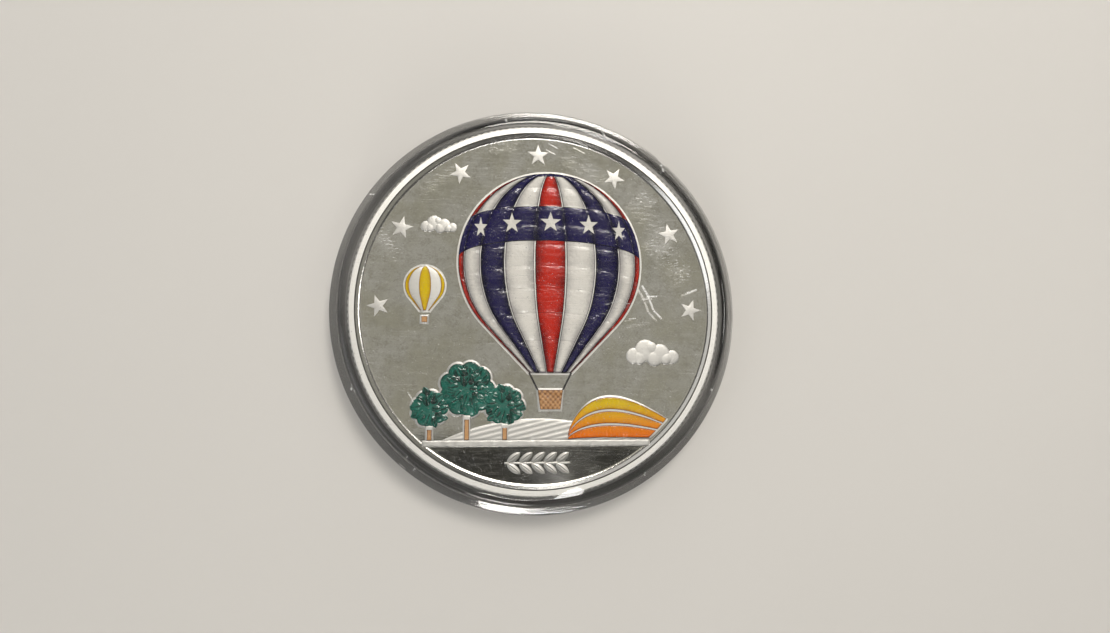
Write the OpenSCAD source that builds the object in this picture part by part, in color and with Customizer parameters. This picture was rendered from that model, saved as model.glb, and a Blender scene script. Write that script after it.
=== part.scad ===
// Round coin capsule: a clear flanged tray and a push-on lid around a thick silver medal
// whose raised design, a balloon over fields, is filled with coloured enamels.
// Millimetres, +Z up, origin at the centre of the tray's underside, +Y to the top of the medal's design.

/* [Medal] */
// Diameter of the medal over its reeded edge
medal_d = 89; // [80:0.5:110]
// Thickness of the medal from rim to rim
medal_t = 5.4; // [4.6:0.1:8]
// Width of the flat top of the rim
rim_w = 1.55; // [1:0.05:3]
// Width of the slope from the rim down to the field
slope_w = 1.2; // [0.6:0.05:2.5]
// Height of the rim above the field, on both faces
rim_h = 0.85; // [0.75:0.05:1.2]
// Number of reeds round the edge
reed_count = 180; // [60:1:240]
// Depth of the grooves between the reeds
reed_depth = 0.25; // [0.1:0.05:0.5]
// Chamfer where the edge meets the rim
edge_chamfer = 0.3; // [0.1:0.05:0.6]

/* [Capsule] */
// Thickness of the tray's floor
floor_t = 2.2; // [1.5:0.1:4]
// Thickness of the lid's window
window_t = 2.2; // [1.5:0.1:4]
// Radial gap between the medal and its seat
seat_gap = 0.35; // [0.1:0.05:1]
// Gap between the medal's rim and the lid's window
head_gap = 0.3; // [0.1:0.05:1]
// Wall of the tray's spigot, which the lid pushes over
spigot_t = 1; // [0.8:0.05:2]
// Gap between the top of the spigot and the window
spigot_top_gap = 0.25; // [0.1:0.05:0.6]
// Wall of the lid's skirt
skirt_t = 1; // [0.8:0.05:2]
// Radial running gap between the spigot and the skirt
fit_gap = 0.05; // [0.02:0.01:0.1]
// Gap between the two flanges at the parting line
parting_gap = 0.06; // [0.02:0.01:0.2]
// Width of each flange beyond the wall
flange_w = 1.9; // [0.8:0.05:3]
// Thickness of each flange
flange_t = 1.3; // [1:0.05:1.8]
// Rounding of the window's outer edge
shoulder_r = 2; // [0.8:0.1:2.4]
// Rounding of the floor's outer edge
foot_r = 0.8; // [0.3:0.05:1.2]
// Rounding of the flange's outer edges
flange_r = 0.3; // [0.1:0.05:0.45]
// Lead-in chamfer on the spigot and the skirt
lead_in = 0.2; // [0.1:0.05:0.3]
// Width of the moulding gate's mark on each flange
gate_w = 3; // [1:0.5:6]
// Depth of the moulding gate's mark
gate_depth = 0.35; // [0.1:0.05:0.6]
// Direction of the gate's mark on the lid; the tray's is opposite
gate_a = 50; // [0:5:355]

/* [Relief heights] */
// Height of the struck relief above the field
relief_h = 0.4; // [0.3:0.01:0.42]
// Thickness of the enamel on the relief
enamel_t = 0.2; // [0.1:0.01:0.21]
// Thickness of the second enamel coat, laid over the first
overlay_t = 0.06; // [0.03:0.01:0.06]
// Silver margin that shows round the enamel
silver_margin = 0.45; // [0.2:0.05:0.8]

/* [Border stars] */
// Number of silver stars round the upper half of the field
star_count = 7; // [3:1:11]
// Radius of a border star to its points
star_r = 2.7; // [1.5:0.1:3.2]
// Gap from the border stars to the foot of the rim
star_gap = 1.6; // [0.8:0.1:3]

/* [Balloon] */
// Width of the balloon's envelope
envelope_w = 44; // [36:0.5:46]
// Angle below the envelope's widest line where its taper starts
taper_a = 44; // [38:1:48]
// Width of the envelope's open mouth
mouth_w = 10; // [8:0.5:12]
// Number of gores that show across the envelope
gore_count = 9; // [5:2:13]
// Angle of the silver line left between two gores
seam_a = 0.8; // [0.4:0.1:1.5]
// Gap from the border stars to the balloon's crown
crown_gap = 1.6; // [0.8:0.1:4]
// Distance of the balloon's centre line to the right of the medal's centre
balloon_x = 3; // [0:0.5:6]
// Lower latitude of the starred band
band_low_a = 2; // [0:1:8]
// Upper latitude of the starred band
band_high_a = 27; // [20:1:32]
// Latitude of the lower edge of the crown cap
crown_a = 62; // [55:1:70]
// Radius of the stars on the band
band_star_r = 2.6; // [1.5:0.1:3]
// Angle from one star on the band to the next
band_star_step = 26; // [22:1:30]
// Length of the ropes between the mouth and the basket
rope_len = 4; // [3:0.2:5]
// Thickness of a rope
rope_w = 0.45; // [0.3:0.05:0.7]
// Width of the basket at its rim
basket_w = 6; // [5:0.2:8]
// Height of the basket
basket_h = 4.6; // [3:0.2:5]

/* [Landscape] */
// Height of the panel under the ground line
exergue_h = 9; // [8:0.5:10]
// Thickness of the struck ground line over the panel
ground_t = 1.6; // [1:0.1:2.4]
// Clearance between the landscape and the foot of the rim
rim_clear = 0.6; // [0.3:0.1:1.5]
// Height of the golden field's crest above the ground line
crop_h = 10; // [6:0.5:11]
// Width of the golden field, which runs out at the rim
crop_w = 32; // [26:0.5:36]
// Distance from the basket to the foot of the golden field
crop_gap = 1; // [0.6:0.1:4]
// Rows of the golden field, one above the other
row_count = 3; // [2:1:5]
// Share of a row that is left as a silver furrow
furrow_share = 0.14; // [0.08:0.02:0.3]
// Height of the far silver hill above the ground line
far_hill_h = 5; // [3:0.5:6]
// Radius of the far silver hill's outline
far_hill_r = 52; // [40:1:80]
// Height of the tallest tree above the ground line
tree_h = 20; // [16:0.5:21]
// Radius of the tallest tree's crown
tree_r = 6.6; // [5:0.1:7]
// Number of leafy lobes round a tree's crown
lobe_count = 9; // [7:1:12]
// Thickness of a tree's trunk
trunk_w = 1.1; // [0.7:0.1:1.8]
// Gap between the trees and the balloon's mouth
tree_gap = 1; // [0.8:0.1:3]
// Width of the large cloud between its end lobes
cloud_w = 10; // [6:0.5:12]
// Radius of the distant balloon
far_r = 4.6; // [3:0.1:5.2]
// Width of the distant balloon's basket
far_basket_w = 1.4; // [1:0.1:2]

/* [Ornaments] */
// Leaf pairs of the sprig under the ground line
sprig_pairs = 5; // [3:1:6]
// Length of a leaf
leaf_l = 4; // [2.5:0.1:4.6]
// Height of the ornaments above the field
ornament_h = 0.35; // [0.15:0.01:0.5]
// Leaves on each branch of the wreath on the back
wreath_leaves = 11; // [6:1:13]
// Radius of the large star on the back
back_star_r = 17; // [10:0.5:20]

/* [Hidden] */
$fn = 96;

// Levels up the stack: floor, medal, head gap, window
medal_z = floor_t;
rim_z = medal_z + medal_t;
window_z = rim_z + head_gap;
capsule_h = window_z + window_t;
part_z = capsule_h / 2;
spigot_z = window_z - spigot_top_gap;
field_z = rim_z - rim_h;
back_field_z = medal_z + rim_h;
relief_z = field_z + relief_h;
enamel_z = relief_z + enamel_t;
overlay_z = enamel_z + overlay_t;
sink = 0.2; // depth that struck relief reaches into the blank, so that both are one solid

// Radii from the medal outwards
medal_r = medal_d / 2;
field_r = medal_r - rim_w - slope_w;
seat_r = medal_r + seat_gap;
spigot_r = seat_r + spigot_t;
bore_r = spigot_r + fit_gap;
wall_r = bore_r + skirt_t;
flange_outer_r = wall_r + flange_w;

// The picture is drawn for a field of this radius, and is struck larger or smaller with the field
picture_r = 41.75;
picture_k = field_r / picture_r;
land_r = picture_r - rim_clear;

// The trees: share of the tallest tree's size, and place beside it as a share of its crown's radius
TREES = [[1, 0], [0.66, -1.3], [0.72, 1.34]];
// The clouds: place as shares of the picture's radius, and share of the large cloud's size
CLOUDS = [[0.68, -0.27, 1], [-0.56, 0.46, 0.66]];
// A cloud's lobes: place and radius as shares of its size
LOBES = [[-0.5, 0, 0.2], [-0.22, 0.13, 0.27], [0.14, 0.06, 0.24], [0.44, -0.02, 0.17]];

// Border stars, balloon and landscape, placed in the picture
star_ring_r = picture_r - star_gap - star_r;
envelope_r = envelope_w / 2;
crown_y = sqrt(pow(star_ring_r - star_r - crown_gap, 2) - pow(balloon_x, 2));
balloon_y = crown_y - envelope_r;
taper_y = envelope_r * sin(taper_a) + (envelope_r * cos(taper_a) - mouth_w / 2) / tan(taper_a);
mouth_y = balloon_y - taper_y;
basket_y = mouth_y - rope_len;
tilt_a = 12; // the balloon is seen from a little below, so its latitudes bow upwards
lat_steps = 24;
meridian_steps = 20;
ground_y = -(picture_r - exergue_h);
ground_top = ground_y + ground_t;
crop_x = balloon_x + basket_w / 2 + crop_gap;
tree_x = balloon_x - mouth_w / 2 - tree_gap - (TREES[2][0] + TREES[2][1]) * tree_r;
far_x = -0.64 * picture_r;
far_y = 0.12 * picture_r;
far_drop = 1.3 * far_r;
far_mouth_w = 0.45 * far_r;
leaf_w = 0.42 * leaf_l;
wreath_r = 0.78 * picture_r;

// Points of an arc from angle a0 to a1, in n steps
function arc(c, r, a0, a1, n) = [for (i = [0:n]) c + r * [cos(a0 + (a1 - a0) * i / n), sin(a0 + (a1 - a0) * i / n)]];

// Points of a five-pointed star, narrowed sideways by squeeze
function star(c, r, squeeze = 1, points = 5, waist = 0.4) =
    [for (i = [0:2 * points - 1])
        let (a = 90 + 180 * i / points, q = i % 2 == 0 ? r : r * waist)
        [c[0] + squeeze * q * cos(a), c[1] + q * sin(a)]];

// Right-hand edge of an envelope of radius r from the crown angle down to the mouth, about its own centre
function envelope_edge(r, mouth, drop, top_a = 80) =
    concat(arc([0, 0], r, top_a, -taper_a, meridian_steps), [[mouth / 2, -drop]]);

// Edge of a gore at longitude lon
function meridian(edge, lon) = [for (p = edge) [p[0] * sin(lon), p[1]]];

function reversed(list) = [for (i = [len(list) - 1:-1:0]) list[i]];

// Outline of the gore between two longitudes
function gore(edge, lon0, lon1) = concat(meridian(edge, lon0), reversed(meridian(edge, lon1)));

// Longitude of the k-th of count equal gore edges across the visible half
function gore_lon(k, count) = -90 + 180 * k / count;

// Place of a latitude and longitude on the envelope, about its own centre
function on_globe(lat, lon) =
    envelope_r * [cos(lat) * sin(lon), sin(lat) * cos(tilt_a) + cos(lat) * cos(lon) * sin(tilt_a)];

// Front half of a latitude circle on the envelope, from left to right
function latitude(lat) = [for (i = [0:lat_steps]) on_globe(lat, -90 + 180 * i / lat_steps)];

// Point on the golden field at a share s of its width and a share k of its height there
function crop_point(s, k) = [crop_x + crop_w * s, ground_top + k * crop_h * sin(180 * pow(s, 0.62))];

module layer(z, t) translate([0, 0, z]) linear_extrude(t) children();
module struck(z, t) layer(z, t) scale(picture_k) children();
module on_balloon() translate([balloon_x, balloon_y]) children();
module on_far() translate([far_x, far_y]) children();
module inside_field(r) intersection() { circle(r); children(); }

// One side of the flanged shell's outline, from the face at z = 0, rounded by r, up to the parting line at height h
function shell_edge(h, r) = concat(
    arc([wall_r - r, r], r, -90, 0, 8),
    [[wall_r, h - flange_t]],
    arc([flange_outer_r - flange_r, h - flange_t + flange_r], flange_r, -90, 0, 4),
    arc([flange_outer_r - flange_r, h - flange_r], flange_r, 0, 90, 4));

module gate_mark(z) {
    translate([flange_outer_r - gate_depth, -gate_w / 2, z]) cube([flange_w, gate_w, flange_t]);
}

// Tray: floor, seat for the medal, flange and spigot
module capsule_base() {
    h = part_z - parting_gap / 2;
    color("lightcyan", 0.35) difference() {
        rotate_extrude() polygon(concat(
            [[0, 0]],
            shell_edge(h, foot_r),
            [
                [spigot_r, h],
                [spigot_r, spigot_z - lead_in],
                [spigot_r - lead_in, spigot_z],
                [seat_r + lead_in, spigot_z],
                [seat_r, spigot_z - lead_in],
                [seat_r, floor_t],
                [0, floor_t]
            ]));
        rotate(gate_a + 180) gate_mark(h - flange_t);
    }
}

// Lid: window, skirt that pushes over the spigot, and flange
module capsule_lid() {
    h = part_z - parting_gap / 2;
    color("lightcyan", 0.35) difference() {
        rotate_extrude() polygon([for (p = concat(
            [[0, 0]],
            shell_edge(h, shoulder_r),
            [
                [bore_r + lead_in, h],
                [bore_r, h - lead_in],
                [bore_r, window_t],
                [0, window_t]
            ])) [p[0], capsule_h - p[1]]]);
        rotate(gate_a) gate_mark(capsule_h - h);
    }
}

// Struck blank with raised rims and a reeded edge
module blank() {
    root_r = medal_r - reed_depth;
    pitch = 360 / reed_count;
    rotate_extrude() polygon([
        [0, back_field_z],
        [field_r, back_field_z],
        [field_r + slope_w, medal_z],
        [root_r - edge_chamfer, medal_z],
        [root_r, medal_z + edge_chamfer],
        [root_r, rim_z - edge_chamfer],
        [root_r - edge_chamfer, rim_z],
        [field_r + slope_w, rim_z],
        [field_r, field_z],
        [0, field_z]
    ]);
    layer(medal_z + edge_chamfer, medal_t - 2 * edge_chamfer) difference() {
        polygon([for (i = [0:reed_count - 1], s = [[-0.45, 0], [-0.25, 1], [0.25, 1], [0.45, 0]])
            (root_r + s[1] * reed_depth) * [cos((i + s[0]) * pitch), sin((i + s[0]) * pitch)]]);
        circle(field_r + slope_w + edge_chamfer);
    }
}

// Struck outline of an envelope with its silver margin
module envelope_pad(r, mouth, drop) {
    edge = concat(arc([0, 0], r + silver_margin, 90, -taper_a, meridian_steps),
        [[mouth / 2 + silver_margin, -drop - silver_margin]]);
    polygon(concat(edge, reversed([for (p = edge) [-p[0], p[1]]])));
}

module basket_shape(grow) {
    top = basket_w / 2 + grow;
    bottom = 0.8 * basket_w / 2 + grow;
    polygon([[-top, basket_y + grow], [top, basket_y + grow],
        [bottom, basket_y - basket_h - grow], [-bottom, basket_y - basket_h - grow]]);
}

module far_basket_shape(grow) {
    top = far_y - far_drop - 3 * silver_margin;
    translate([far_x - far_basket_w / 2 - grow, top - far_basket_w - grow]) square(far_basket_w + 2 * grow);
}

module rope_shape(side, w) {
    polygon([
        [side * mouth_w / 2 - w / 2, mouth_y],
        [side * mouth_w / 2 + w / 2, mouth_y],
        [side * basket_w / 2 + w / 2, basket_y],
        [side * basket_w / 2 - w / 2, basket_y]
    ]);
}

// Leafy crown: a round heart with lobes round it
module tree_crown(r, grow) {
    lobe_r = 0.36 * r;
    circle(r - lobe_r + grow);
    for (i = [0:lobe_count - 1])
        rotate(360 * i / lobe_count) translate([r - lobe_r, 0]) circle(lobe_r + grow);
}

module each_tree() {
    for (t = TREES)
        translate([tree_x + t[1] * tree_r, ground_y + t[0] * (tree_h - tree_r)]) {
            $tree_scale = t[0];
            children();
        }
}

// Trunk from the ground line up to a little below the crown
module trunk_shape(grow) {
    foot = -$tree_scale * (tree_h - tree_r) + ground_t;
    top = -$tree_scale * tree_r - silver_margin;
    translate([-trunk_w / 2 - grow, foot]) square([trunk_w + 2 * grow, top - foot + 2 * grow]);
}

// Part of the golden field between two shares of its height
module crop_band(k0, k1) {
    ends = [0.006, 0.96];
    share = [for (i = [0:lat_steps]) ends[0] + (ends[1] - ends[0]) * pow(i / lat_steps, 1.8)];
    polygon(concat([for (q = share) crop_point(q, k0)], reversed([for (q = share) crop_point(q, k1)])));
}

module far_hill_shape() {
    inside_field(land_r) intersection() {
        translate([0, ground_top + far_hill_h - far_hill_r]) circle(far_hill_r);
        translate([-picture_r, ground_y]) square([2 * picture_r, exergue_h]);
    }
}

module cloud_shapes() {
    for (c = CLOUDS, lobe = LOBES)
        translate(picture_r * [c[0], c[1]] + cloud_w * c[2] * [lobe[0], lobe[1]]) circle(cloud_w * c[2] * lobe[2]);
}

// Pointed leaf along +X, the overlap of two discs
module leaf(l, w) {
    r = (l * l / 4 + w * w / 4) / w;
    intersection() {
        translate([l / 2, r - w / 2]) circle(r);
        translate([l / 2, w / 2 - r]) circle(r);
    }
}

module sprig_shape() {
    step = leaf_l * 0.72;
    y = ground_y - exergue_h * 0.42;
    half = step * (sprig_pairs / 2 + 0.2);
    translate([-half, y - 0.25]) square([2 * half, 0.5]);
    for (i = [0:sprig_pairs - 1], side = [-1, 1])
        translate([step * (i - (sprig_pairs - 1) / 2) - step / 2, y])
            rotate(side * 38) leaf(leaf_l, leaf_w);
}

module ground_shape() {
    inside_field(land_r) translate([-picture_r, ground_y]) square([2 * picture_r, ground_t]);
}

module front_relief() {
    struck(field_z - sink, relief_h + sink) {
        on_balloon() envelope_pad(envelope_r, mouth_w, taper_y);
        translate([balloon_x, 0]) {
            basket_shape(silver_margin);
            for (side = [-1, 1]) rope_shape(side, rope_w + 2 * silver_margin);
        }
        on_far() envelope_pad(far_r, far_mouth_w, far_drop);
        far_basket_shape(silver_margin);
        inside_field(land_r) crop_band(0, 1 + silver_margin / crop_h);
        inside_field(land_r) each_tree() tree_crown($tree_scale * tree_r, silver_margin);
        inside_field(land_r) each_tree() trunk_shape(silver_margin);
        ground_shape();
    }
    struck(field_z - sink, ornament_h + sink) {
        for (i = [0:star_count - 1])
            let (a = 180 * i / (star_count - 1))
            rotate(a) translate([star_ring_r, 0]) rotate(-90) polygon(star([0, 0], star_r));
        cloud_shapes();
        far_hill_shape();
        sprig_shape();
    }
}

// Laurel wreath round a large star, seen from below
module back_relief() {
    spread = 150;
    struck(back_field_z - ornament_h, ornament_h + sink) {
        polygon(star([0, 0], back_star_r));
        for (side = [-1, 1], i = [0:wreath_leaves - 1], lean = [-35, 35])
            let (a = -90 + side * (12 + spread * i / wreath_leaves))
            rotate(a) translate([wreath_r, 0]) rotate(side * 90 + lean) leaf(1.5 * leaf_l, 1.5 * leaf_w);
    }
}

module medal() color("silver") {
    blank();
    front_relief();
    back_relief();
}

// Gores of one colour, counted from the left
module gores(r, mouth, drop, count, first, step) {
    edge = envelope_edge(r, mouth, drop);
    for (k = [first:step:count - 1])
        polygon(gore(edge, gore_lon(k, count) + seam_a / 2, gore_lon(k + 1, count) - seam_a / 2));
}

module enamel_red() color("crimson") {
    struck(relief_z, enamel_t) on_balloon() gores(envelope_r, mouth_w, taper_y, gore_count, 0, 4);
}

module enamel_white() color("ivory") {
    struck(relief_z, enamel_t) on_balloon() gores(envelope_r, mouth_w, taper_y, gore_count, 1, 2);
    struck(overlay_z, overlay_t) on_balloon() for (i = [-2:2])
        let (lon = i * band_star_step)
        polygon(star(on_globe((band_low_a + band_high_a) / 2, lon), band_star_r, cos(lon)));
}

module enamel_navy() color("midnightblue") {
    struck(relief_z, enamel_t) on_balloon() gores(envelope_r, mouth_w, taper_y, gore_count, 2, 4);
    struck(enamel_z, overlay_t) on_balloon() {
        polygon(concat(latitude(band_low_a), reversed(latitude(band_high_a))));
        polygon(concat(latitude(crown_a), arc([0, 0], envelope_r, crown_a, 180 - crown_a, lat_steps)));
    }
}

module enamel_green() color("darkgreen") {
    struck(relief_z, enamel_t) inside_field(land_r) each_tree() tree_crown($tree_scale * tree_r, 0);
}

module enamel_gold() color("orange") {
    struck(relief_z, enamel_t) {
        inside_field(land_r - silver_margin) for (i = [0:row_count - 1])
            crop_band((i + furrow_share) / row_count, (i + 1) / row_count);
        on_far() gores(far_r, far_mouth_w, far_drop, 5, 0, 2);
    }
}

module enamel_tan() color("peru") {
    struck(relief_z, enamel_t) {
        translate([balloon_x, 0]) basket_shape(0);
        far_basket_shape(0);
        inside_field(land_r) each_tree() trunk_shape(0);
    }
}

module enamel_black() color("black") {
    struck(relief_z, enamel_t) translate([balloon_x, 0]) for (side = [-1, 1]) rope_shape(side, rope_w);
}

capsule_base();
capsule_lid();
medal();
enamel_red();
enamel_white();
enamel_navy();
enamel_green();
enamel_gold();
enamel_tan();
enamel_black();
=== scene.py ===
# A coin capsule: two clear plastic shells, pushed together round a thick silver medal with an enamelled picture.
import math

import bmesh
import bpy
from mathutils import Matrix, Vector


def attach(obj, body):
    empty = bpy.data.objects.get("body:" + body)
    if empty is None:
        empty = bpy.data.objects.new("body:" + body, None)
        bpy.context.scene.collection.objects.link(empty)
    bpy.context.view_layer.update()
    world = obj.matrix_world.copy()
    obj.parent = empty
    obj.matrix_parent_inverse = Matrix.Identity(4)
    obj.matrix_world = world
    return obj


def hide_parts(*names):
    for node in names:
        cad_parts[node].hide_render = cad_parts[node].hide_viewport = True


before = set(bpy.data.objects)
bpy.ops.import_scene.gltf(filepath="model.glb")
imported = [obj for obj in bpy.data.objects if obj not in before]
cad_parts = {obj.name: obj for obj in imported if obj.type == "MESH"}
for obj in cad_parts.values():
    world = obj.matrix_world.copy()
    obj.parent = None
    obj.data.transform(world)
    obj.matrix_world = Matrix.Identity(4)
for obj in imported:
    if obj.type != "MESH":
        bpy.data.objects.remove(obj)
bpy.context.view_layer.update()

# Tray
# The lower shell is moulded in one shot of clear polystyrene: a thick floor, a low wall with a flange,
# and a thin spigot that stands up round the medal for the lid to grip.
MM = 0.001
seat_r, spigot_r, wall_r, flange_r = 44.85, 45.85, 46.9, 48.8
floor_top, part_low, part_high, spigot_top, window_low, capsule_top = 2.2, 5.02, 5.08, 7.65, 7.9, 10.1
flange_t, gate_half, gate_depth = 1.3, 1.5, 0.35
foot_round, flange_round, corner_round, root_round, seat_round = 0.8, 0.3, 0.2, 0.15, 0.4


def turned(outline, roundings, steps=256):
    """A solid turned about Z from an outline of (radius, height) in mm.

    Its rings are rounded as (radius, height, size)."""
    bm = bmesh.new()
    verts = [bm.verts.new((r * MM, 0, z * MM)) for r, z in outline]
    edges = [bm.edges.new(pair) for pair in zip(verts, verts[1:])]
    bmesh.ops.spin(bm, geom=verts + edges, axis=(0, 0, 1), angle=math.tau, steps=steps, use_merge=True)
    bmesh.ops.remove_doubles(bm, verts=bm.verts, dist=1e-6)
    bmesh.ops.recalc_face_normals(bm, faces=bm.faces)
    for r, z, size in roundings:
        ring = [e for e in bm.edges if all(
            abs(v.co.xy.length - r * MM) < 2e-6 and abs(v.co.z - z * MM) < 2e-6 for v in e.verts)]
        bmesh.ops.bevel(bm, geom=ring, offset=size * MM, offset_type="OFFSET", affect="EDGES",
                        segments=3 if size < 0.25 else 6 if size < 1 else 12, profile=0.5, material=-1)
    return bm


def gate_mark(bm, turn):
    """Presses the small flat that the moulding gate leaves into the flange's edge."""
    toward = Vector((math.cos(turn), math.sin(turn)))
    for v in bm.verts:
        across = abs(v.co.x * toward.y - v.co.y * toward.x)
        if v.co.xy.dot(toward) > (wall_r + 0.5) * MM and across < gate_half * MM:
            v.co.xy = v.co.xy.normalized() * min(v.co.xy.length, (flange_r - gate_depth) * MM)


class Wire:
    """One output of a finish's nodes. Sums on it add Math nodes, and node adds any other."""

    def __init__(self, tree, socket=None):
        self.tree, self.socket = tree, socket

    def node(self, kind, settings={}, sockets={}, out=0):
        made = self.tree.nodes.new("ShaderNode" + kind)
        for key, value in settings.items():
            setattr(made, key, value)
        for key, value in sockets.items():
            if isinstance(value, Wire):
                self.tree.links.new(value.socket, made.inputs[key])
            else:
                made.inputs[key].default_value = value
        return Wire(self.tree, made.outputs[out] if made.outputs else None)

    def math(self, operation, *values):
        return self.node("Math", {"operation": operation}, dict(enumerate(values)))

    def __add__(self, other):
        return self.math("ADD", self, other)

    def __sub__(self, other):
        return self.math("SUBTRACT", self, other)

    def __rsub__(self, other):
        return self.math("SUBTRACT", other, self)

    def __mul__(self, other):
        return self.math("MULTIPLY", self, other)

    def __abs__(self):
        return self.math("ABSOLUTE", self)

    __radd__, __rmul__ = __add__, __mul__

    def rise(self, low, high):
        """0 below low and 1 above high, with a smooth step between; falls where low is the larger."""
        return self.node("MapRange", {"interpolation_type": "SMOOTHSTEP"}, {0: self, 1: low, 2: high})

    def blend(self, under, over):
        """A colour that goes from under to over as this wire goes from 0 to 1."""
        under, over = [c if isinstance(c, Wire) else (*c, 1) for c in (under, over)]
        return self.node("Mix", {"data_type": "RGBA"}, {0: self, 6: under, 7: over}, 2)

    def noise(self, scale, detail=2.0, rough=0.5):
        """Cloudy noise over this wire's coordinates, about 0.5."""
        return self.node("TexNoise", {}, {"Vector": self, "Scale": scale, "Detail": detail, "Roughness": rough})

    def stretched(self, size, turn=0.0):
        """These coordinates turned about Z and scaled by size."""
        return self.node("Mapping", {}, {"Vector": self, "Rotation": (0, 0, turn), "Scale": size})

    def bump(self, height, depth):
        return self.node("Bump", {}, {"Height": height, "Strength": 1.0, "Distance": depth})


def finish(name):
    """A new material and a wire with its object coordinates."""
    made = bpy.data.materials.new(name)
    made.use_nodes = True
    made.node_tree.nodes.clear()
    return made, Wire(made.node_tree).node("TexCoord", out=3)


def clear_plastic(name, lamp_share, ior, haze, scuff, grooves):
    """Clear polystyrene. lamp_share is what it lets through of a lamp's light at each face, ior sets how strongly
    it mirrors, haze is its roughness, scuff how far its face is scratched white, and grooves a height."""
    made, at = finish(name)
    through = at.node("BsdfPrincipled", {}, {
        "Base Color": (0.97, 0.975, 0.97, 1), "Transmission Weight": 1.0, "IOR": ior,
        "Roughness": haze(at), "Normal": at.bump(grooves(at), 0.00002)})
    unbent = at.node("BsdfTransparent", {}, {"Color": (lamp_share, lamp_share, lamp_share, 1)})
    for ray in ("Is Diffuse Ray", "Is Glossy Ray", "Is Shadow Ray"):
        through = at.node("MixShader", {}, {0: at.node("LightPath", out=ray), 1: through, 2: unbent})
    worn = at.node("BsdfPrincipled", {}, {
        "Base Color": (0.96, 0.96, 0.95, 1), "Roughness": 0.75, "Transmission Weight": 0.4})
    at.node("OutputMaterial", {}, {"Surface": at.node("MixShader", {}, {0: scuff(at), 1: through, 2: worn})})
    return made


def around(at, turns, reach):
    """Coordinates that run turns units per radian round Z and reach units per metre outwards, without a seam."""
    flat = at.stretched((1, 1, 0))
    way = at.node("VectorMath", {"operation": "NORMALIZE"}, {0: flat})
    east, north = (at.node("SeparateXYZ", {}, {0: way}, i) for i in range(2))
    out = at.node("VectorMath", {"operation": "LENGTH"}, {0: flat}, 1)
    return at.node("CombineXYZ", {}, {0: turns * east, 1: turns * north, 2: reach * out})


def flow_rings(at):
    """Faint broken rings that the flow of the plastic leaves in the walls and the flange."""
    return 0.6 * around(at, 6.0, 3500.0).noise(1.0) + 0.4 * at.noise(200)


def wall_haze(at):
    """Roughness of the walls and the flange, a little duller in clouds."""
    return 0.012 + 0.04 * at.noise(90, 3.0).rise(0.5, 0.75)


def split_ring(bm, inner):
    """Gives the second finish to the walls and flange outside the radius inner."""
    for face in bm.faces:
        face.material_index = int(max(v.co.xy.length for v in face.verts) > inner * MM)


def piece(bm, name, body, slot, finishes, *nodes):
    """Makes an object of a finished bmesh, shades it, and lets it ride on its body in place of its CAD nodes."""
    mesh = bpy.data.meshes.new(name)
    bm.to_mesh(mesh)
    bm.free()
    for made in finishes:
        mesh.materials.append(made)
    mesh.shade_smooth()
    mesh.set_sharp_from_angle(angle=math.radians(38))
    obj = bpy.data.objects.new(name, mesh)
    bpy.context.scene.collection.objects.link(obj)
    obj.modifiers.new("even_normals", "WEIGHTED_NORMAL").keep_sharp = True
    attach(obj, body)
    if nodes:
        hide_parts(*nodes)


tray = turned(
    [(0, 0), (seat_r, 0), (wall_r, 0), (wall_r, part_low - flange_t), (flange_r, part_low - flange_t),
     (flange_r, part_low), (spigot_r, part_low), (spigot_r, spigot_top), (seat_r, spigot_top),
     (seat_r, floor_top), (0, floor_top)],
    [(wall_r, 0, foot_round), (wall_r, part_low - flange_t, corner_round),
     (flange_r, part_low - flange_t, flange_round), (flange_r, part_low, flange_round),
     (spigot_r, part_low, root_round), (spigot_r, spigot_top, corner_round),
     (seat_r, spigot_top, corner_round), (seat_r, floor_top, seat_round)])
gate_mark(tray, math.radians(230))
split_ring(tray, seat_r + 0.1)
face_share, wall_share = 0.97, 0.77
tray_floor = clear_plastic(
    "tray_floor", face_share, 1.5,
    haze=lambda at: 0.015 + 0.05 * at.noise(60).rise(0.55, 0.8),
    scuff=lambda at: 0.12 * at.noise(2600, 1.0).rise(0.76, 0.82),
    grooves=lambda at: at.noise(25))
moulded_ring = clear_plastic(
    "moulded_ring", wall_share, 1.5,
    haze=wall_haze,
    scuff=lambda at: 0.3 * at.noise(1500, 2.0).rise(0.7, 0.78),
    grooves=flow_rings)
piece(tray, "tray_shell", "tray", "clear_plastic", [tray_floor, moulded_ring], "capsule_base")

# Medal blank
# One thick disc of fine silver, struck between dies: a mirror field inside a raised rim on both faces.
# The rim and its slope come out satin, and the reeds are pressed into the edge by the collar.
medal_low, medal_top, rim_h = 2.2, 7.6, 0.85
field_z, back_z, field_r = medal_top - rim_h, medal_low + rim_h, 41.75
rim_in, edge_r, reed_r, reed_count = 42.95, 44.25, 44.5, 180
SILVER, FROST = (0.93, 0.91, 0.87), (0.6, 0.59, 0.565)

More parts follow.
